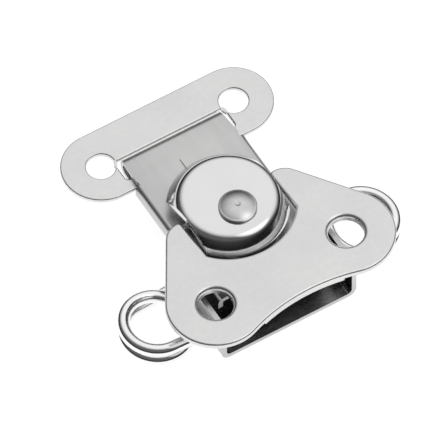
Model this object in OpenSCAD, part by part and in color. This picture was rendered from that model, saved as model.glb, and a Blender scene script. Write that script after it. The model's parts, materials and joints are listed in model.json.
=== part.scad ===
// Butterfly (wing-turn) spring draw latch with its separate slotted strike plate.
// Millimetres. The origin is on the rivet's axis, on the plane that the base channel is fixed to.
// +X runs along the strike plate, +Y runs from the rivet towards the strike, +Z is up.
// The latch is drawn closed: the wing lies flat and the hook is down through the strike's slot.

/* [Sheet and wire] */
// Thickness of the base, arm, cup and strike sheet
sheet = 1.0; // [0.8:0.1:1.1]
// Thickness of the wing
wing_t = 1.3; // [1.1:0.1:1.4]
// Diameter of the spring wire
wire_d = 2.6; // [2.4:0.1:2.6]

/* [Strike plate] */
// Distance between the two screw holes
strike_pitch = 29.6; // [29:0.2:31]
// Diameter of each screw hole, clearance for M5
strike_hole_d = 5.7; // [4:0.1:6]
// Width of the plate across its straight edges
strike_w = 15.65; // [15:0.05:17]
// Height of the plate's underside above the mounting plane
strike_z = 8.0; // [7.8:0.1:8.1]

/* [Base channel] */
// Outer width of the channel
base_w = 29.8; // [29.6:0.1:30]
// Distance from the rivet to the channel's open front edge
base_front = 19.0; // [17:0.1:20]
// Height of the channel's side walls
base_h = 10.4; // [9.4:0.1:10.6]

/* [Coil eyes] */
// Distance from the middle of the latch to the axis of each coil
coil_x = 22.8; // [22.8:0.1:24]
// Distance from the rivet's axis to the coils' axes, towards the front
coil_y = 8.0; // [7.8:0.1:8.4]
// Mean radius of a coil along X, away from the channel's wall
coil_rx = 6.3; // [6:0.05:6.3]
// Mean radius of a coil along Y, from leg to leg
coil_ry = 6.8; // [6.4:0.05:6.9]

/* [Draw arm] */
// Outer width of the arm
arm_w = 24.2; // [23:0.1:24.4]
// How far the arm travels over half a turn of the wing
draw = 6.0; // [4:0.1:6]

/* [Wing and cup] */
// Radius of each lobe of the wing
lobe_r = 9.6; // [9:0.1:10]
// Diameter of the holes in the lobes
lobe_hole_d = 6.9; // [5:0.1:8]
// Radius of the flat part of the cup's top
cup_flat_r = 8.2; // [7.5:0.1:8.4]
// How far the wing and cup stand off square when the latch is closed, in degrees
wing_skew = 2.6; // [0:0.1:4]

/* [Hidden] */
$fn = 64;
reach = 100;          // longer than the whole latch, for cuts that run right through
lap = 0.5;            // how far a joined shape runs into its neighbour
gap = 0.3;            // room between parts that pass each other
running = 0.05;       // radial clearance of a part that turns on another
seated = 0.02;        // radial clearance of a part that is staked in another

// Heights
arm_top = 10.4;
arm_under = arm_top - sheet;
arm_wall_foot = 7.7;
cam_z = arm_top + 0.2;
cam_t = 1.4;
carrier_z = cam_z + cam_t;
carrier_t = 0.8;
wing_z = 13.1;
hinge_z = wing_z + wing_t / 2;
cup_top = 16.5;
head_z = cup_top + 0.1;
head_side = 0.4;
head_dome = 0.9;

// Pivot: a stepped bush, clamped by the rivet, that the cam, carrier and cup turn on
rivet_r = 2.1;
rivet_tail_r = 3.2;
rivet_tail_t = 0.7;
head_r = 3.7;
bush_r = 2.9;
bush_foot_r = 5.0;
bore_r = bush_r + running;

// Heart-shaped cam: its radius falls evenly over half a turn, so the arm moves evenly
cam_tip_r = 9.5;
cam_drop = draw / 180;          // per degree
pin_r = 1.0;
pin_front_y = cam_tip_r + pin_r + gap;
pin_rear_y = cam_tip_r - draw + pin_r + gap;
pin_top = carrier_z - 0.2;

// Base
base_rear = 2.0;
base_bend = 1.8;
tongue_r = 9.0;
leg_end_x = 12.6;
leg_rise = 0.9;                 // of the low leg, from the coil to its end
leg_fall = 0.8;                 // of the high leg, from the coil to its end
coil_low_z = wire_d / 2 + 0.05;
coil_pitch = wire_d + 0.3;
turns = 1.5;
coil_top_z = coil_low_z + turns * coil_pitch;
wall_mid_x = base_w / 2 - sheet / 2;
wall_share = (coil_x - wall_mid_x) / (coil_x - leg_end_x);
leg_hole_r = wire_d / 2 + 0.25;

// Arm
arm_bend = 1.2;
arm_rear = pin_front_y + pin_r + 1.1;
arm_wall_end = 17.6;
ridge_y = 19.0;
ridge_half_w = 11.35;
hook_half_w = 10.9;
hook_r = 2.0;
hook_y = 23.2;
hook_z = 8.1;
hook_tip_y = 20.9;
arm_slot_r = bush_r + gap;
boss_x = [-1.6, 3.1];
boss_y = [14, 19.2];
boss_h = 0.3;

// Strike
strike_y = 26.0;
slot_y = [20.6, 25.6];
slot_half_w = 12.2;
slot_corner = 0.8;

// Wing outline: a lobe and a smaller corner on each side, and a hollow waist between the lobes
lobe_at = [14.9, -14.7];
corner_at = [11.2, 0.4];
corner_r = 4.2;
waist_r = 37.9;
cup_y = 3.3;
recess_r = 13.0;
recess_half_w = 10.2;
lip_w = 1.0;
lip_t = 0.6;
lip_half_w = 9.0;
collar_w = 0.8;
collar_h = 0.5;
trunnion_r = 0.6;
trunnion_in = 6.0;
trunnion_out = 11.5;

// Cup section
cup_corner = 2.4;
cup_flare = 55;
cup_half_w = 9.5;
ear_x = [6.3, 7.7];
ear_r = 1.4;
carrier_r = 8.6;
carrier_half_w = 7.9;
hub_r = 4.4;
hub_top = 14.7;

steel = [0.80, 0.80, 0.80];
light_steel = [0.86, 0.86, 0.86];
bright_wire = [0.72, 0.72, 0.73];
dark_steel = [0.55, 0.55, 0.56];

// ---- Shapes used more than once ----

// A block with its two lower edges rounded, standing on y = 0
module u_block(half_w, height, bend) {
    translate([-half_w, bend]) square([2 * half_w, height - bend]);
    translate([-half_w + bend, 0]) square([2 * (half_w - bend), height]);
    for (s = [-1, 1]) translate([s * (half_w - bend), bend]) circle(bend);
}

// Section of a channel bent from one strip, open at the top
module u_section(half_w, height, bend) {
    difference() {
        u_block(half_w, height, bend);
        translate([0, sheet]) u_block(half_w - sheet, height, bend - sheet + 0.2);
    }
}

// Drawing in X and Z, carried along Y from y0 to y1
module along_y(y0, y1) {
    translate([0, y1, 0]) rotate([90, 0, 0]) linear_extrude(y1 - y0) children();
}

// Drawing in Y and Z, carried along X from x0 to x1
module along_x(x0, x1) {
    translate([x0, 0, 0]) rotate([90, 0, 90]) linear_extrude(x1 - x0) children();
}

module round_rect(lo, hi, r) {
    translate([lo[0] + r, lo[1]]) square([hi[0] - lo[0] - 2 * r, hi[1] - lo[1]]);
    translate([lo[0], lo[1] + r]) square([hi[0] - lo[0], hi[1] - lo[1] - 2 * r]);
    for (x = [lo[0] + r, hi[0] - r], y = [lo[1] + r, hi[1] - r]) translate([x, y]) circle(r);
}

module turned() {
    rotate([0, 0, wing_skew]) children();
}

// ---- Base ----

module base_channel() {
    color(steel) difference() {
        union() {
            along_y(-base_front, base_rear) u_section(base_w / 2, base_h, base_bend);
            intersection() {
                cylinder(r = tongue_r, h = sheet);
                translate([-tongue_r, 0, 0]) cube([2 * tongue_r, tongue_r, sheet]);
            }
        }
        translate([0, 0, -lap]) cylinder(r = rivet_r + seated, h = sheet + 2 * lap);
        translate([0, 0, -seated]) cylinder(r1 = rivet_tail_r + seated, r2 = rivet_r, h = rivet_tail_t);
        for (s = [-1, 1]) {
            leg_hole(s, -coil_y + coil_ry, coil_low_z + leg_rise * wall_share);
            leg_hole(s, -coil_y - coil_ry, coil_top_z - leg_fall * wall_share);
        }
    }
}

// Hole in a side wall for one leg of a spring
module leg_hole(side, y, z) {
    translate([side * wall_mid_x, y, z]) rotate([0, 90, 0])
        cylinder(r = leg_hole_r, h = 4 * sheet, center = true);
}

// ---- Springs: a low straight leg, a coil that winds up, and a high straight leg ----

wire_sides = 12;
ring_step = 15;
leg_rings = 3;

function coil_point(i) = let(a = 90 + i * ring_step)
    [-coil_x + coil_rx * cos(a), -coil_y + coil_ry * sin(a), coil_low_z + i * ring_step / 360 * coil_pitch];
function between(p, q, n) = [for (i = [0 : n - 1]) p + (q - p) * i / n];
function wire_path() = let(
        rings = turns * 360 / ring_step,
        low = coil_point(0),
        high = coil_point(rings),
        low_end = [-leg_end_x, low[1], low[2] + leg_rise],
        high_end = [-leg_end_x, high[1], high[2] - leg_fall])
    concat(
        between(low_end, low, leg_rings),
        [for (i = [0 : rings - 1]) coil_point(i)],
        between(high, high_end, leg_rings),
        [high_end]);

function unit(v) = v / norm(v);
function heading(path, i) =
    unit(path[min(i + 1, len(path) - 1)] - path[max(i - 1, 0)]);
function ring(path, i, r) = let(
        t = heading(path, i),
        u = unit(cross([0, 0, 1], t)),
        v = cross(t, u))
    [for (k = [0 : wire_sides - 1]) let(a = k * 360 / wire_sides)
        path[i] + r * (cos(a) * u + sin(a) * v)];

module wire(path, r) {
    n = len(path);
    points = [for (i = [0 : n - 1]) each ring(path, i, r)];
    sides = [for (i = [0 : n - 2], k = [0 : wire_sides - 1]) let(
            a = i * wire_sides + k,
            b = i * wire_sides + (k + 1) % wire_sides)
        [a, a + wire_sides, b + wire_sides, b]];
    start = [[for (k = [0 : wire_sides - 1]) k]];
    end = [[for (k = [wire_sides - 1 : -1 : 0]) (n - 1) * wire_sides + k]];
    polyhedron(points, concat(sides, start, end));
}

module spring_left() {
    color(bright_wire) wire(wire_path(), wire_d / 2);
}

module spring_right() {
    color(bright_wire) mirror([1, 0, 0]) wire(wire_path(), wire_d / 2);
}

// ---- Pivot ----

module pivot_bush() {
    color(dark_steel) difference() {
        union() {
            translate([0, 0, sheet]) cylinder(r = bush_foot_r, h = arm_under - 0.2 - sheet);
            translate([0, 0, sheet]) cylinder(r = bush_r, h = head_z - sheet);
        }
        cylinder(r = rivet_r + seated, h = reach);
    }
}

module rivet() {
    dome_r = (head_r * head_r + head_dome * head_dome) / (2 * head_dome);
    dimple_r = 1.0;
    dimple_depth = 0.15;
    head_top = head_z + head_side + head_dome;
    color(steel) difference() {
        union() {
            cylinder(r = rivet_r, h = head_z + lap);
            cylinder(r1 = rivet_tail_r, r2 = rivet_r, h = rivet_tail_t - 2 * seated);
            intersection() {
                translate([0, 0, head_top - dome_r]) sphere(dome_r);
                translate([0, 0, head_z]) cylinder(r = head_r, h = 2 * head_dome + head_side);
            }
        }
        translate([0, 0, head_top + dimple_r - dimple_depth]) sphere(dimple_r);
    }
}

// ---- Arm ----

module draw_arm() {
    color(steel) {
        difference() {
            union() {
                along_y(-arm_rear, arm_wall_end) translate([0, arm_top]) mirror([0, 1])
                    u_section(arm_w / 2, arm_top - arm_wall_foot, arm_bend);
                translate([0, 0, arm_under]) linear_extrude(sheet)
                    polygon([[-arm_w / 2 + arm_bend, arm_wall_end - lap],
                        [arm_w / 2 - arm_bend, arm_wall_end - lap],
                        [ridge_half_w, ridge_y], [-ridge_half_w, ridge_y]]);
                arm_hook();
                translate([boss_x[0], boss_y[0], arm_top - lap])
                    cube([boss_x[1] - boss_x[0], boss_y[1] - boss_y[0] - lap, lap + boss_h]);
            }
            for (y = [0, -draw]) translate([0, y, 0]) cylinder(r = arm_slot_r, h = reach);
            translate([-arm_slot_r, -draw, 0]) cube([2 * arm_slot_r, draw, reach]);
            for (y = [pin_rear_y, -pin_front_y]) translate([0, y, 0])
                cylinder(r = pin_r + seated, h = reach);
        }
    }
}

// The strip beyond the ridge: it falls a little, curls down and turns back under the strike's bar
module arm_hook() {
    fall = atan2(arm_top - hook_z - hook_r, hook_y - ridge_y);
    tangent = [hook_y + hook_r * sin(fall), hook_z + hook_r * cos(fall)];
    inner = [hook_y + (hook_r - sheet) * sin(fall), hook_z + (hook_r - sheet) * cos(fall)];
    intersection() {
        along_x(-arm_w / 2, arm_w / 2) {
            polygon([[ridge_y - lap, arm_top], [ridge_y, arm_top], tangent, inner, [ridge_y, arm_under],
                [ridge_y - lap, arm_under]]);
            difference() {
                translate([hook_y, hook_z]) circle(hook_r);
                translate([hook_y, hook_z]) circle(hook_r - sheet);
                translate([hook_y - reach, hook_z - reach]) square([reach, 2 * reach]);
            }
            translate([hook_tip_y + sheet / 2, hook_z - hook_r])
                square([hook_y - hook_tip_y - sheet / 2 + 0.01, sheet]);
            translate([hook_tip_y + sheet / 2, hook_z - hook_r + sheet / 2]) circle(sheet / 2);
        }
        linear_extrude(2 * arm_top) polygon([[-ridge_half_w, ridge_y - lap], [ridge_half_w, ridge_y - lap],
            [hook_half_w, hook_y + hook_r + lap], [-hook_half_w, hook_y + hook_r + lap]]);
    }
}

module follower_pins() {
    color(dark_steel) for (y = [pin_rear_y, -pin_front_y])
        translate([0, y, arm_under]) cylinder(r = pin_r, h = pin_top - arm_under);
}

// ---- Turning group ----

module cam_plate() {
    step = 6;
    flank = [for (a = [0 : step : 180]) let(r = cam_tip_r - cam_drop * a) [r * sin(a), -r * cos(a)]];
    far_side = [for (i = [len(flank) - 2 : -1 : 1]) [-flank[i][0], flank[i][1]]];
    color(dark_steel) translate([0, 0, cam_z]) difference() {
        linear_extrude(cam_t) polygon(concat(flank, far_side));
        translate([0, 0, -lap]) cylinder(r = bore_r, h = cam_t + 2 * lap);
    }
}

module turn_carrier() {
    color(dark_steel) turned() difference() {
        union() {
            intersection() {
                translate([0, cup_y, carrier_z]) cylinder(r = carrier_r, h = carrier_t);
                translate([-carrier_half_w, -reach / 2, 0]) cube([2 * carrier_half_w, reach, reach]);
            }
            translate([0, 0, carrier_z]) cylinder(r = hub_r, h = hub_top - carrier_z);
            for (s = [-1, 1]) hinge_ear(s);
        }
        translate([0, 0, carrier_z - lap]) cylinder(r = bore_r, h = reach);
        for (s = [-1, 1]) translate([s * (ear_x[0] + ear_x[1]) / 2, cup_y, hinge_z]) rotate([0, 90, 0])
            cylinder(r = trunnion_r + running, h = ear_x[1] - ear_x[0] + 2 * seated, center = true);
    }
}

// Upright ear that holds one trunnion of the wing
module hinge_ear(side) {
    x0 = side > 0 ? ear_x[0] : -ear_x[1];
    along_x(x0, x0 + ear_x[1] - ear_x[0]) {
        translate([cup_y, hinge_z]) circle(ear_r);
        translate([cup_y - ear_r, carrier_z]) square([2 * ear_r, hinge_z - carrier_z]);
    }
}

// Dished washer that presses the carrier and the cup apart
module spring_washer() {
    washer_r = [3.1, 5.2];
    washer_t = 0.35;
    washer_rise = 0.35;
    color(steel) turned() translate([0, 0, hub_top + 0.05]) rotate_extrude()
        polygon([[washer_r[0], washer_rise], [washer_r[1], 0], [washer_r[1], washer_t],
            [washer_r[0], washer_t + washer_rise]]);
}

// Half section of the cup's outer or inner skin: flat top, round shoulder, flared skirt
function cup_skin(corner, top) = let(
        steps = 8,
        arc = [for (i = [0 : steps]) let(a = cup_flare * i / steps)
            [cup_flat_r + corner * sin(a), top - corner + corner * cos(a)]],
        shoulder = arc[steps])
    concat([[0, top]], arc, [[shoulder[0] + (shoulder[1] - wing_z) / tan(cup_flare), wing_z]]);

module turn_cup() {
    outer = cup_skin(cup_corner, cup_top);
    inner = cup_skin(cup_corner - sheet, cup_top - sheet);
    color(steel) turned() difference() {
        translate([0, cup_y, 0]) intersection() {
            rotate_extrude($fn = 96)
                polygon(concat(outer, [for (i = [len(inner) - 1 : -1 : 0]) inner[i]]));
            translate([-cup_half_w, -reach / 2, 0]) cube([2 * cup_half_w, reach, reach]);
        }
        cylinder(r = bore_r, h = reach);
    }
}

module wing() {
    color(light_steel) turned() {
        translate([0, 0, wing_z]) linear_extrude(wing_t) wing_outline();
        translate([0, 0, wing_z - lip_t]) linear_extrude(lip_t + lap) waist_lip();
        translate([0, 0, wing_z - collar_h]) linear_extrude(collar_h + lap) hole_collars();
        for (s = [0, 1]) mirror([s, 0, 0]) translate([trunnion_in, cup_y, hinge_z]) rotate([0, 90, 0])
            cylinder(r = trunnion_r, h = trunnion_out - trunnion_in);
    }
}

waist_y = lobe_at[1] - sqrt(pow(waist_r + lobe_r, 2) - pow(lobe_at[0], 2));

module wing_outline() {
    // Line that touches the lobe and the corner on their outer sides
    away = corner_at - lobe_at;
    edge_angle = atan2(away[1], away[0]) - acos((lobe_r - corner_r) * -1 / norm(away));
    out = [cos(edge_angle), sin(edge_angle)];
    waist_end = lobe_at + lobe_r * unit([0, waist_y] - lobe_at);
    half = [waist_end, lobe_at, lobe_at + lobe_r * out, corner_at + corner_r * out, corner_at,
        corner_at + [0, corner_r]];
    other = [for (i = [len(half) - 1 : -1 : 0]) [-half[i][0], half[i][1]]];
    difference() {
        union() {
            polygon(concat(half, other));
            for (s = [-1, 1]) {
                translate([s * lobe_at[0], lobe_at[1]]) circle(lobe_r);
                translate([s * corner_at[0], corner_at[1]]) circle(corner_r);
            }
        }
        translate([0, waist_y]) circle(waist_r, $fn = 128);
        intersection() {
            translate([0, cup_y]) circle(recess_r);
            translate([-recess_half_w, cup_y - recess_r])
                square([2 * recess_half_w, recess_r + 2 * corner_r]);
        }
        translate([-recess_half_w, cup_y - lap]) square([2 * recess_half_w, 2 * corner_r]);
        for (s = [-1, 1]) translate([s * lobe_at[0], lobe_at[1]]) circle(lobe_hole_d / 2);
    }
}

// Edge of each lobe's hole, drawn down below the sheet
module hole_collars() {
    for (s = [-1, 1]) translate([s * lobe_at[0], lobe_at[1]]) difference() {
        circle(lobe_hole_d / 2 + collar_w);
        circle(lobe_hole_d / 2);
    }
}

// Turned-down edge along the waist
module waist_lip() {
    intersection() {
        difference() {
            translate([0, waist_y]) circle(waist_r + lip_w, $fn = 128);
            translate([0, waist_y]) circle(waist_r, $fn = 128);
        }
        translate([-lip_half_w, waist_y]) square([2 * lip_half_w, reach]);
    }
}

// ---- Strike ----

module strike_plate() {
    color(light_steel) translate([0, 0, strike_z]) linear_extrude(sheet) difference() {
        union() {
            translate([-strike_pitch / 2, strike_y - strike_w / 2]) square([strike_pitch, strike_w]);
            for (s = [-1, 1]) translate([s * strike_pitch / 2, strike_y]) circle(strike_w / 2);
        }
        for (s = [-1, 1]) translate([s * strike_pitch / 2, strike_y]) circle(strike_hole_d / 2);
        round_rect([-slot_half_w, slot_y[0]], [slot_half_w, slot_y[1]], slot_corner);
    }
}

base_channel();
spring_left();
spring_right();
pivot_bush();
rivet();
draw_arm();
follower_pins();
cam_plate();
turn_carrier();
spring_washer();
turn_cup();
wing();
strike_plate();
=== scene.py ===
import json
import math

import bmesh
import bpy
from mathutils import Matrix, Vector
from mathutils.geometry import tessellate_polygon


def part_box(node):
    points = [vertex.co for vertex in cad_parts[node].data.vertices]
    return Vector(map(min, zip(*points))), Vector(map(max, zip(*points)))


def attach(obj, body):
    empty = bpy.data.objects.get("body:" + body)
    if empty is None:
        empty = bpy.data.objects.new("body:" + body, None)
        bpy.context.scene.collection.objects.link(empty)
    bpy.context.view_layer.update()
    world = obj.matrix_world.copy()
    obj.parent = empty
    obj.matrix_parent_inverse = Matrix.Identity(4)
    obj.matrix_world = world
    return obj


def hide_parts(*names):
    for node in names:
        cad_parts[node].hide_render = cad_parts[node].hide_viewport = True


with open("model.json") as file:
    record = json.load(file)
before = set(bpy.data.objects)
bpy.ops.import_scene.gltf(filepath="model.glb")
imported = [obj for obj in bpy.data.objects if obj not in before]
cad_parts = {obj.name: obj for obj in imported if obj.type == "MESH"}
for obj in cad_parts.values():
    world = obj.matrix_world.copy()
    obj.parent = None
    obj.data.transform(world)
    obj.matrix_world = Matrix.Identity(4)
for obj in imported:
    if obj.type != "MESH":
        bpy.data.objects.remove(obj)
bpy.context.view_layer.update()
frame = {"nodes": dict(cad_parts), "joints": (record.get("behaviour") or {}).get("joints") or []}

MM = 0.001

# ---- Sizes: worked out from the frame, or the same as the part's own values, in millimetres ----

def box_mm(node):
    lo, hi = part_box(node)
    return Vector(lo) / MM, Vector(hi) / MM


JOINTS = {row["name"]: row for row in frame["joints"]}
FOLD = JOINTS["wing_fold"]
FOLD_POS = Vector(FOLD["pos_m"]) / MM
SKEW = math.atan2(-FOLD["axis"][1], -FOLD["axis"][0])     # how far the wing and cup stand off square

strike_lo, strike_hi = box_mm("strike_plate")
wing_hi = box_mm("wing")[1]
cup_lo, cup_hi = box_mm("turn_cup")
rivet_hi = box_mm("rivet")[1]
coil_lo, coil_hi = box_mm("spring_left")

SHEET = 1.0
WING_T = 1.3
WING_Z = wing_hi.z - WING_T
LOBE = Vector((14.9, -14.7))
LOBE_R = 9.6
LOBE_HOLE_R = 3.45
HOLE_ROLL = 0.85
COLLAR_W, COLLAR_H = 0.8, 0.5
CORNER = Vector((11.2, 0.4))
CORNER_R = 4.2
WAIST_R = 37.9
WAIST = Vector((0, LOBE.y - math.sqrt((WAIST_R + LOBE_R) ** 2 - LOBE.x ** 2)))
RECESS_R = 13.0
RECESS_X = 10.2
RECESS_ROUND = 0.8
CUP_Y = math.hypot(FOLD_POS.x, FOLD_POS.y)
CUP_FLAT_R = 8.2
CUP_SHOULDER = 2.4
CUP_FLARE = math.radians(55)
CUP_SIDE_X = 9.5
STRIKE_R = (strike_hi.y - strike_lo.y) / 2
STRIKE_Y = (strike_hi.y + strike_lo.y) / 2
STRIKE_X = strike_hi.x - STRIKE_R
STRIKE_HOLE_R = 2.85
SLOT_X, SLOT_Y, SLOT_ROUND = 12.2, (20.6, 25.6), 0.8
WIRE_R = 1.3
COIL = Vector((-22.8, (coil_lo.y + coil_hi.y) / 2))
COIL_RX = COIL.x - coil_lo.x - WIRE_R
COIL_RY = (coil_hi.y - coil_lo.y) / 2 - WIRE_R
COIL_LOW_Z = WIRE_R + 0.05
COIL_PITCH = 2 * WIRE_R + 0.3
COIL_TURNS = 1.5
LEG_END_X = -coil_hi.x
LEG_RISE = 0.9
LEG_FALL = 0.8


# ---- Materials ----

def new_material(name, metallic=1.0, roughness=0.3, colour=(0.8, 0.8, 0.8)):
    mat = bpy.data.materials.new(name)
    mat.use_nodes = True
    shader = mat.node_tree.nodes["Principled BSDF"]
    shader.inputs["Metallic"].default_value = metallic
    shader.inputs["Roughness"].default_value = roughness
    shader.inputs["Base Color"].default_value = (*colour, 1)
    return mat, mat.node_tree, shader


def noise(tree, scale, detail=3.0, stretch=(1, 1, 1), rough=0.55):
    """Noise in object space; stretch under 1 draws it out along that axis."""
    place = tree.nodes.new("ShaderNodeTexCoord")
    squeeze = tree.nodes.new("ShaderNodeMapping")
    squeeze.inputs["Scale"].default_value = stretch
    tex = tree.nodes.new("ShaderNodeTexNoise")
    tex.inputs["Scale"].default_value = scale
    tex.inputs["Detail"].default_value = detail
    tex.inputs["Roughness"].default_value = rough
    tree.links.new(place.outputs["Object"], squeeze.inputs["Vector"])
    tree.links.new(squeeze.outputs["Vector"], tex.inputs["Vector"])
    return tex.outputs["Fac"]


def to_range(tree, value, low, high, from_low=0.3, from_high=0.7):
    ramp = tree.nodes.new("ShaderNodeMapRange")
    ramp.inputs["From Min"].default_value = from_low
    ramp.inputs["From Max"].default_value = from_high
    ramp.inputs["To Min"].default_value = low
    ramp.inputs["To Max"].default_value = high
    tree.links.new(value, ramp.inputs["Value"])
    return ramp.outputs["Result"]


def mix_colours(tree, value, dark, light):
    mix = tree.nodes.new("ShaderNodeMix")
    mix.data_type = "RGBA"
    mix.inputs["A"].default_value = (*dark, 1)
    mix.inputs["B"].default_value = (*light, 1)
    tree.links.new(value, mix.inputs["Factor"])
    return mix.outputs["Result"]


def add_bump(tree, shader, height, distance, strength=1.0):
    bump = tree.nodes.new("ShaderNodeBump")
    bump.inputs["Distance"].default_value = distance
    bump.inputs["Strength"].default_value = strength
    tree.links.new(height, bump.inputs["Height"])
    tree.links.new(bump.outputs["Normal"], shader.inputs["Normal"])


def metal(name, dark, light, rough, grain, grain_stretch, grain_depth, blotch=60.0):
    """Plated steel: cloudy colour, roughness that follows fine drawing marks, and a shallow bump."""
    mat, tree, shader = new_material(name)
    cloud = noise(tree, blotch, detail=2.0)
    marks = noise(tree, grain, detail=4.0, stretch=grain_stretch)
    tree.links.new(mix_colours(tree, to_range(tree, cloud, 0, 1), dark, light), shader.inputs["Base Color"])
    tree.links.new(to_range(tree, marks, rough[0], rough[1]), shader.inputs["Roughness"])
    add_bump(tree, shader, marks, grain_depth)
    return mat


EVEN = (1, 1, 1)
SATIN = metal("satin_sheet", (0.69, 0.69, 0.69), (0.75, 0.75, 0.745), (0.26, 0.34), 900, EVEN, 0.000003)
DRAWN = metal("drawn_sheet", (0.52, 0.52, 0.52), (0.63, 0.63, 0.625), (0.30, 0.40), 700, (1, 0.06, 1),
              0.000008)
# Dark sheet for the faces inside the channel and under the arm: painted shade where the closed-in space is
# dark.
PAINTED_SHADE = metal("sheet_painted_shade", (0.20, 0.20, 0.20), (0.30, 0.30, 0.30), (0.22, 0.32), 700, (0.1, 1, 1),
               0.000006)
CUP = metal("cup_steel", (0.72, 0.72, 0.72), (0.78, 0.78, 0.775), (0.10, 0.16), 900, EVEN, 0.000002)
WIRE = metal("spring_wire", (0.88, 0.88, 0.88), (0.94, 0.94, 0.94), (0.08, 0.13), 500, EVEN, 0.000002)
RIVET = metal("rivet_steel", (0.56, 0.56, 0.56), (0.66, 0.66, 0.66), (0.20, 0.28), 800, EVEN, 0.000006,
              blotch=250.0)
INNER = metal("inner_steel", (0.40, 0.40, 0.41), (0.52, 0.52, 0.53), (0.30, 0.45), 600, EVEN, 0.000010)


def floor_material():
    """Pale matt floor, lit from within near the object so that it stays light under it."""
    mat, tree, shader = new_material("floor", 0.0, 0.7, (0.26, 0.26, 0.26))
    shader.inputs["Specular IOR Level"].default_value = 0.1
    shader.inputs["Emission Color"].default_value = (1, 1, 1, 1)
    place_at = tree.nodes.new("ShaderNodeTexCoord")
    far = tree.nodes.new("ShaderNodeVectorMath")
    far.operation = "LENGTH"
    tree.links.new(place_at.outputs["Object"], far.inputs[0])
    glow = to_range(tree, far.outputs["Value"], 0.93, 0.42, 0.08, 0.24)
    tree.links.new(glow, shader.inputs["Emission Strength"])
    return mat


FLOOR = floor_material()


# ---- Mesh helpers ----

def make_object(name, verts, faces, material, smooth=None):
    mesh = bpy.data.meshes.new(name)
    mesh.from_pydata([Vector(v) * MM for v in verts], [], faces)
    obj = bpy.data.objects.new(name, mesh)
    bpy.context.scene.collection.objects.link(obj)
    obj.data.materials.append(material)
    for i, face in enumerate(mesh.polygons):
        face.use_smooth = True if smooth is None else smooth[i]
    mesh.validate()
    mesh.update()
    return obj


def arc(centre, radius, a0, a1, step=math.radians(3)):
    """Points on a circle from angle a0 to a1, which may run either way."""
    n = max(2, math.ceil(abs(a1 - a0) / step))
    return [Vector((centre[0] + radius * math.cos(a0 + (a1 - a0) * i / n),
                    centre[1] + radius * math.sin(a0 + (a1 - a0) * i / n))) for i in range(n + 1)]


def tidy_loop(points, closest=0.02):
    kept = []
    for p in points:
        if not kept or (p - kept[-1]).length > closest:
            kept.append(p)
    if (kept[0] - kept[-1]).length <= closest:
        kept.pop()
    return kept


def normals_of(loop):
    """Normal at each point of a closed loop, to the right of its direction, lengthened at corners."""
    out = []
    for i, p in enumerate(loop):
        before, after = loop[i - 1], loop[(i + 1) % len(loop)]
        d0, d1 = (p - before).normalized(), (after - p).normalized()
        n0, n1 = Vector((d0.y, -d0.x)), Vector((d1.y, -d1.x))
        n = (n0 + n1).normalized()
        out.append(n / max(0.5, n.dot(n1)))
    return out


def plate(name, loops, z_lo, z_hi, material, top_rounds, foot_round, steps=6):
    """A sheet cut to loops, the outer one anticlockwise and the holes clockwise, each with its rolled
    edge."""
    verts, faces, smooth = [], [], []
    quarter = [math.pi / 2 * i / steps for i in range(steps + 1)]
    foot = [(foot_round * (1 - math.sin(t)), z_lo + foot_round * (1 - math.cos(t))) for t in quarter]
    rings_of = []
    for loop, roll in zip(loops, top_rounds):
        levels = foot + [(roll * (1 - math.cos(t)), z_hi - roll * (1 - math.sin(t))) for t in quarter]
        loop = tidy_loop(loop)
        normals = normals_of(loop)
        rings = []
        for inset, z in levels:
            first = len(verts)
            verts += [(p.x - n.x * inset, p.y - n.y * inset, z) for p, n in zip(loop, normals)]
            rings.append(range(first, first + len(loop)))
        for low, high in zip(rings, rings[1:]):
            for i in range(len(loop)):
                j = (i + 1) % len(loop)
                faces.append((low[i], low[j], high[j], high[i]))
                smooth.append(True)
        rings_of.append(rings)
    for level, flip in ((0, True), (-1, False)):
        outlines = [[Vector(verts[i]) for i in rings[level]] for rings in rings_of]
        index = [i for rings in rings_of for i in rings[level]]
        for tri in tessellate_polygon(outlines):
            a, b, c = (index[i] for i in tri)
            area = (Vector(verts[b]) - Vector(verts[a])).cross(Vector(verts[c]) - Vector(verts[a])).z
            if (area < 0) != flip:
                b, c = c, b
            faces.append((a, b, c))
            smooth.append(False)
    return make_object(name, verts, faces, material, smooth)


def turn_about_rivet(obj, angle):
    obj.data.transform(Matrix.Rotation(angle, 4, "Z"))


def lathe(name, profile, centre, material, turns=128):
    """Body of revolution about a line along Z; a closed body's profile starts and ends on that line."""
    verts, faces = [], []
    rings = []
    for r, z in profile:
        if r < 1e-6:
            rings.append([len(verts)] * turns)
            verts.append((centre[0], centre[1], z))
            continue
        rings.append(list(range(len(verts), len(verts) + turns)))
        verts += [(centre[0] + r * math.cos(math.tau * k / turns),
                   centre[1] + r * math.sin(math.tau * k / turns), z) for k in range(turns)]
    for low, high in zip(rings, rings[1:]):
        for k in range(turns):
            j = (k + 1) % turns
            corners = [low[k], low[j], high[j], high[k]]
            face = list(dict.fromkeys(corners))
            if len(face) > 2:
                faces.append(face)
    return make_object(name, verts, faces, material)


def round_edges(obj, width, segments=3, angle=30):
    bevel = obj.modifiers.new("round", "BEVEL")
    bevel.width = width * MM
    bevel.segments = segments
    bevel.limit_method = "ANGLE"
    bevel.angle_limit = math.radians(angle)
    bevel.harden_normals = False
    bevel.use_clamp_overlap = True
    apply_modifiers(obj)


def apply_modifiers(obj):
    graph = bpy.context.evaluated_depsgraph_get()
    done = bpy.data.meshes.new_from_object(obj.evaluated_get(graph))
    old = obj.data
    obj.modifiers.clear()
    obj.data = done
    bpy.data.meshes.remove(old)


def smooth_by_angle(obj, angle=35):
    mesh = obj.data
    mesh.polygons.foreach_set("use_smooth", [True] * len(mesh.polygons))
    mesh.set_sharp_from_angle(angle=math.radians(angle))
    mesh.update()


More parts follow.
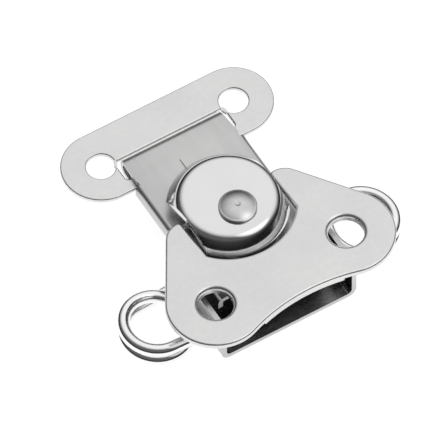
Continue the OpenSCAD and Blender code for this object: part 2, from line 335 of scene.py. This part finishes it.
def keep_creases(obj, wide=8.0):
    """Keeps a shallow fold between two wide faces crisp; wide is in square millimetres."""
    least_fold = math.radians(2)
    work = bmesh.new()
    work.from_mesh(obj.data)
    for edge in work.edges:
        if len(edge.link_faces) == 2 and edge.calc_face_angle() > least_fold \
                and min(face.calc_area() for face in edge.link_faces) > wide * MM * MM:
            edge.smooth = False
    work.to_mesh(obj.data)
    work.free()


def even_normals(obj):
    """Shades each point as its largest face, so that a flat stays flat beside a rounded edge."""
    weigh = obj.modifiers.new("even", "WEIGHTED_NORMAL")
    weigh.keep_sharp = True
    weigh.weight = 100
    apply_modifiers(obj)


def softened(node, name, width, material, angle=30):
    """Copy of a CAD node with its triangles joined into whole faces and its sharp edges rounded."""
    mesh = frame["nodes"][node].data.copy()
    mesh.name = name
    work = bmesh.new()
    work.from_mesh(mesh)
    bmesh.ops.remove_doubles(work, verts=work.verts, dist=0.002 * MM)
    bmesh.ops.dissolve_limit(work, angle_limit=math.radians(1), verts=work.verts, edges=work.edges)
    work.to_mesh(mesh)
    work.free()
    mesh.materials.clear()
    obj = bpy.data.objects.new(name, mesh)
    bpy.context.scene.collection.objects.link(obj)
    obj.data.materials.append(material)
    round_edges(obj, width, 3, angle)
    smooth_by_angle(obj)
    keep_creases(obj)
    even_normals(obj)
    return obj


def tube(name, path, radius, material, sides=28):
    verts, faces = [], []
    rings = []
    side_way = None
    for i, p in enumerate(path):
        ahead = (path[min(i + 1, len(path) - 1)] - path[max(i - 1, 0)]).normalized()
        side_way = Vector((0, 0, 1)).cross(ahead).normalized()
        up = ahead.cross(side_way)
        rings.append(range(len(verts), len(verts) + sides))
        verts += [p + radius * (math.cos(a) * side_way + math.sin(a) * up)
                  for a in [math.tau * k / sides for k in range(sides)]]
    for low, high in zip(rings, rings[1:]):
        for k in range(sides):
            j = (k + 1) % sides
            faces.append((low[k], low[j], high[j], high[k]))
    faces.append(tuple(reversed(rings[0])))
    faces.append(tuple(rings[-1]))
    smooth = [True] * (len(faces) - 2) + [False, False]
    return make_object(name, verts, faces, material, smooth)


def place(obj, body, slot, *nodes):
    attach(obj, body)
    if nodes:
        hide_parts(*nodes)


# ---- Wing ----

def wing_outline():
    """Half the outline, from the middle of the waist round to the middle of the recess, then mirrored."""
    to_lobe = math.atan2(LOBE.y - WAIST.y, LOBE.x)
    away = CORNER - LOBE
    outward = math.atan2(away.y, away.x) - math.acos((LOBE_R - CORNER_R) / away.length)
    fillet = Vector((RECESS_X + RECESS_ROUND, 0))
    inside = CORNER_R - RECESS_ROUND
    fillet.y = CORNER.y + math.sqrt(inside ** 2 - (fillet.x - CORNER.x) ** 2)
    to_fillet = math.atan2(fillet.y - CORNER.y, fillet.x - CORNER.x)
    recess_end = -math.acos(RECESS_X / RECESS_R)
    fine = math.radians(1)
    half = arc(WAIST, WAIST_R, math.pi / 2, to_lobe, fine)
    half += arc(LOBE, LOBE_R, to_lobe - math.pi, outward)
    half += arc(CORNER, CORNER_R, outward, to_fillet)
    half += arc(fillet, RECESS_ROUND, to_fillet, math.pi, math.radians(9))
    half += arc((0, CUP_Y), RECESS_R, recess_end, -math.pi / 2, fine)
    return half + [Vector((-p.x, p.y)) for p in reversed(half)]


def hole(centre, radius):
    return arc(centre, radius, math.tau, 0, math.radians(4))


wing = plate("wing_plate", [wing_outline(), hole(LOBE, LOBE_HOLE_R), hole((-LOBE.x, LOBE.y), LOBE_HOLE_R)],
             WING_Z, WING_Z + WING_T, SATIN, [0.5, HOLE_ROLL, HOLE_ROLL], 0.25)
turn_about_rivet(wing, SKEW)
place(wing, "wing", "satin_sheet", "wing")


def collar(side):
    """The rim turned down round a lobe hole."""
    foot, top, chamfer = WING_Z - COLLAR_H, WING_Z + 0.25, 0.15
    inner, outer = LOBE_HOLE_R, LOBE_HOLE_R + COLLAR_W
    rim = [(inner, foot + chamfer), (inner + chamfer, foot), (outer - chamfer, foot), (outer, foot + chamfer),
           (outer, top), (inner, top), (inner, foot + chamfer)]
    ring = lathe("collar_" + ("right" if side > 0 else "left"), rim, (side * LOBE.x, LOBE.y), SATIN, 90)
    smooth_by_angle(ring, 30)
    turn_about_rivet(ring, SKEW)
    place(ring, "wing", "satin_sheet")


def trunnion(side):
    """Round stub that the wing folds on."""
    radius, inner_end, next_ring, outer_end = 0.6, 6.0, 6.0 + 0.15, 11.0
    path = [Vector((side * x, 0, 0)) for x in (inner_end, next_ring, outer_end)]
    stub = tube("trunnion_" + ("right" if side > 0 else "left"), path, radius, SATIN)
    stub.data.transform(Matrix.Translation(Vector((0, CUP_Y, FOLD_POS.z)) * MM))
    turn_about_rivet(stub, SKEW)
    place(stub, "wing", "satin_sheet")


for side in (-1, 1):
    collar(side)
    trunnion(side)


def waist_lip():
    """The turned-down edge along the waist."""
    half_length, thickness, drop, sunk, hair = 9.0, 1.0, 0.6, 0.3, 0.02
    half = math.asin(half_length / WAIST_R)
    fine = math.radians(1)
    loop = arc(WAIST, WAIST_R + hair, math.pi / 2 + half, math.pi / 2 - half, fine)
    loop += arc(WAIST, WAIST_R + thickness, math.pi / 2 - half, math.pi / 2 + half, fine)
    lip = plate("waist_lip", [loop], WING_Z - drop, WING_Z + sunk, SATIN, [0.05], 0.15, 3)
    turn_about_rivet(lip, SKEW)
    place(lip, "wing", "satin_sheet")


waist_lip()

# ---- Strike plate ----

def obround():
    quarter = math.pi / 2
    right = arc((STRIKE_X, STRIKE_Y), STRIKE_R, -quarter, quarter)
    left = arc((-STRIKE_X, STRIKE_Y), STRIKE_R, quarter, 3 * quarter)
    return right + left


def slot_loop():
    r = SLOT_ROUND
    quarter = math.pi / 2
    loop = []
    corners = ((SLOT_X - r, SLOT_Y[0] + r, 0), (-SLOT_X + r, SLOT_Y[0] + r, -1),
               (-SLOT_X + r, SLOT_Y[1] - r, -2), (SLOT_X - r, SLOT_Y[1] - r, -3))
    for x, y, k in corners:
        loop += arc((x, y), r, k * quarter, (k - 1) * quarter, math.radians(9))
    return loop


strike = plate("strike_sheet", [obround(), hole((STRIKE_X, STRIKE_Y), STRIKE_HOLE_R),
                                hole((-STRIKE_X, STRIKE_Y), STRIKE_HOLE_R), slot_loop()],
               strike_lo.z, strike_hi.z, SATIN, [0.32] * 4, 0.2)
place(strike, "strike", "satin_sheet", "strike_plate")


# ---- Cup ----

def cup_profile():
    """From the axis out along the inside to the rim, and back over the outside to the axis."""
    top = cup_hi.z
    rim_z = cup_lo.z

    def skin(shoulder, height, steps):
        side = [(CUP_FLAT_R + shoulder * math.sin(a), height - shoulder + shoulder * math.cos(a))
                for a in [CUP_FLARE * i / steps for i in range(steps + 1)]]
        end = side[-1]
        rim = (end[0] + (end[1] - rim_z) / math.tan(CUP_FLARE), rim_z)
        return side + [rim]

    outer = skin(CUP_SHOULDER, top, 14)
    inner = skin(CUP_SHOULDER - SHEET, top - SHEET, 8)
    return [(0, top - SHEET)] + [(CUP_FLAT_R - 2, top - SHEET)] + inner + outer[::-1] \
        + [(CUP_FLAT_R - 0.15, top), (CUP_FLAT_R - 2, top), (0, top)]


def cut_side(obj, side):
    """Slices the cup off flat at one side and closes the cut."""
    work = bmesh.new()
    work.from_mesh(obj.data)
    everything = work.verts[:] + work.edges[:] + work.faces[:]
    cut = bmesh.ops.bisect_plane(work, geom=everything, plane_co=(side * CUP_SIDE_X * MM, 0, 0),
                                 plane_no=(side, 0, 0), clear_outer=True, dist=1e-7)
    edges = [e for e in cut["geom_cut"] if isinstance(e, bmesh.types.BMEdge)]
    bmesh.ops.holes_fill(work, edges=edges)
    work.to_mesh(obj.data)
    work.free()


cup = lathe("cup_shell", cup_profile(), (0, CUP_Y), CUP, turns=192)
for side in (-1, 1):
    cut_side(cup, side)
round_edges(cup, 0.22, 4, 40)
smooth_by_angle(cup, 30)
turn_about_rivet(cup, SKEW)
place(cup, "turn", "cup_steel", "turn_cup")


# ---- Rivet ----

def rivet_profile():
    head_r = rivet_hi.x
    shank_r, tail_r, tail_t = 2.1, 3.2, 0.66
    top = rivet_hi.z
    dome = 0.9
    brim = 0.4
    head_z = top - dome - brim
    dome_r = (head_r ** 2 + dome ** 2) / (2 * dome)
    rolled = 0.3
    spread = math.asin((head_r - rolled) / dome_r)
    dimple_r = 0.55
    crown = [(dome_r * math.sin(a), top - dome_r + dome_r * math.cos(a))
             for a in [spread * (1 - i / 24) for i in range(25)]]
    crown = [p for p in crown if p[0] > dimple_r * 1.5]
    dimple = [(dimple_r * 1.3, crown[-1][1]), (dimple_r, crown[-1][1] - 0.03),
              (dimple_r * 0.6, crown[-1][1] - 0.14), (0, crown[-1][1] - 0.18)]
    return [(0, 0), (tail_r, 0), (shank_r, tail_t), (shank_r, head_z), (head_r - 0.1, head_z),
            (head_r, head_z + 0.1), (head_r, crown[0][1] - 0.12), (head_r - 0.12, crown[0][1] - 0.02)] \
        + crown + dimple


rivet = lathe("rivet_turned", rivet_profile(), (0, 0), RIVET)
smooth_by_angle(rivet, 40)
place(rivet, "base", "rivet_steel", "rivet")

# ---- Springs ----

def wire_path():
    """Left spring: in from the wall low down, round and up the coil, and back into the wall."""
    step = math.radians(5)
    coil = []
    for i in range(round(COIL_TURNS * math.tau / step) + 1):
        angle = math.pi / 2 + i * step
        coil.append(Vector((COIL.x + COIL_RX * math.cos(angle), COIL.y + COIL_RY * math.sin(angle),
                            COIL_LOW_Z + COIL_PITCH * i * step / math.tau)))
    start = Vector((-LEG_END_X, coil[0].y, COIL_LOW_Z + LEG_RISE))
    end = Vector((-LEG_END_X, coil[-1].y, coil[-1].z - LEG_FALL))
    lead = [start.lerp(coil[0], i / 8) for i in range(8)]
    tail = [coil[-1].lerp(end, (i + 1) / 8) for i in range(8)]
    return lead + coil + tail


def spring(name, side, node):
    path = [Vector((-side * p.x, p.y, p.z)) for p in wire_path()]
    wire = tube(name, path, WIRE_R, WIRE)
    if side > 0:
        wire.data.flip_normals()
    smooth_by_angle(wire, 50)
    place(wire, "base", "spring_wire", node)


spring("wire_left", -1, "spring_left")
spring("wire_right", 1, "spring_right")

# ---- Arm and base: the bent sheets, with rounded edges ----

arm = softened("draw_arm", "arm_sheet", 0.16, DRAWN)
place(arm, "arm", "drawn_sheet", "draw_arm")
base = softened("base_channel", "base_sheet", 0.2, DRAWN)
place(base, "base", "drawn_sheet", "base_channel")


def paint_shade_inside(obj, inside):
    """Gives the faces that inside(centre, normal) picks a dark material, painted shade for the closed-in
    side.
    """
    obj.data.materials.append(PAINTED_SHADE)
    for face in obj.data.polygons:
        if inside(face.center / MM, face.normal):
            face.material_index = 1


def faces_inwards(c, n):
    """A side wall's face that looks towards the middle of the part."""
    return n.x * c.x < -0.5 * abs(c.x)


def on_channel_floor(c, n):
    return n.z > 0.3 and c.z < 2.5 and abs(c.x) < 14


def under_the_arm(c, n):
    return n.z < -0.5 and c.z > 9 and c.y < 17


# Painted shade: the channel floor, the inward walls and the arm's underside get the dark material.
paint_shade_inside(base, lambda c, n: on_channel_floor(c, n) or faces_inwards(c, n))
paint_shade_inside(arm, lambda c, n: under_the_arm(c, n) or faces_inwards(c, n))

for node in ("pivot_bush", "follower_pins", "cam_plate", "turn_carrier", "spring_washer"):
    inner = frame["nodes"][node]
    for slot in inner.material_slots:
        slot.material = INNER

# ---- Floor, camera and light ----

CAMERA_AZIMUTH = math.radians(31.2)


def floor_plane():
    size = 900
    verts = [(-size, -size, 0), (size, -size, 0), (size, size, 0), (-size, size, 0)]
    floor = make_object("floor", verts, [(0, 1, 2, 3)], FLOOR)


def add_camera():
    azimuth, elevation = CAMERA_AZIMUTH, math.radians(55.9)
    look = Vector((math.sin(azimuth) * math.cos(elevation), math.cos(azimuth) * math.cos(elevation),
                   -math.sin(elevation)))
    target = Vector((-3.6, -0.9, 14.7)) * MM
    width = 85.1 * MM
    data = bpy.data.cameras.new("camera")
    data.lens = 1200
    data.sensor_width = 36
    cam = bpy.data.objects.new("camera", data)
    cam.location = target - look * (width * data.lens / data.sensor_width)
    cam.rotation_mode = "QUATERNION"
    cam.rotation_quaternion = look.to_track_quat("-Z", "Y")
    data.clip_start, data.clip_end = 0.1, 20
    bpy.context.scene.collection.objects.link(cam)
    bpy.context.scene.camera = cam


def add_fill():
    """Faint key light overhead, for soft shadows under the parts."""
    data = bpy.data.lights.new("fill", "AREA")
    data.size = 0.5
    data.energy = 0.6
    light = bpy.data.objects.new("fill", data)
    light.location = (0.05, -0.05, 0.6)
    light.visible_glossy = False
    bpy.context.scene.collection.objects.link(light)


def sky_axis(right, back, up):
    """Direction given in the camera's own right and back along the floor, and straight up."""
    az = CAMERA_AZIMUTH
    flat = right * Vector((math.cos(az), -math.sin(az), 0)) + back * Vector((math.sin(az), math.cos(az), 0))
    return (flat + Vector((0, 0, up))).normalized()


def sky_lobe(tree, direction, axis, stops):
    """Level by how near a direction of the sky is to an axis, from 0 at a right angle to 1 on it."""
    dot = tree.nodes.new("ShaderNodeVectorMath")
    dot.operation = "DOT_PRODUCT"
    dot.inputs[1].default_value = axis
    ramp = tree.nodes.new("ShaderNodeValToRGB")
    elements = ramp.color_ramp.elements
    while len(elements) < len(stops):
        elements.new(0.5)
    for element, (at, level) in zip(elements, stops):
        element.position = at
        element.color = (level, level, level, 1)
    tree.links.new(direction, dot.inputs[0])
    tree.links.new(dot.outputs["Value"], ramp.inputs["Fac"])
    return ramp.outputs["Color"]


def combine(tree, operation, a, b):
    node = tree.nodes.new("ShaderNodeVectorMath")
    node.operation = operation
    tree.links.new(a, node.inputs[0])
    tree.links.new(b, node.inputs[1])
    return node.outputs["Vector"]


def add_world():
    """Studio tent: bright overhead and behind, dark towards the camera and the horizon, one soft box."""
    world = bpy.data.worlds.new("studio")
    world.use_nodes = True
    tree = world.node_tree
    way = tree.nodes.new("ShaderNodeTexCoord").outputs["Generated"]
    horizon = sky_lobe(tree, way, sky_axis(0, 0, 1),
                       ((0.0, 0.05), (0.16, 0.08), (0.34, 0.62), (0.60, 1.0)))
    front = sky_lobe(tree, way, sky_axis(0.15, 0.45, 1),
                     ((0.0, 0.12), (0.56, 0.13), (0.88, 0.92), (0.96, 1.0)))
    box = sky_lobe(tree, way, sky_axis(0.62, -0.25, 1),
                   ((0.0, 0.0), (0.90, 0.0), (0.98, 0.95), (1.0, 1.0)))
    tent = combine(tree, "MULTIPLY", horizon, front)
    back = tree.nodes["Background"]
    tree.links.new(combine(tree, "ADD", tent, box), back.inputs["Color"])
    back.inputs["Strength"].default_value = 1.0
    bpy.context.scene.world = world


floor_plane()
add_camera()
add_world()
add_fill()
bpy.context.scene.view_settings.view_transform = "Standard"
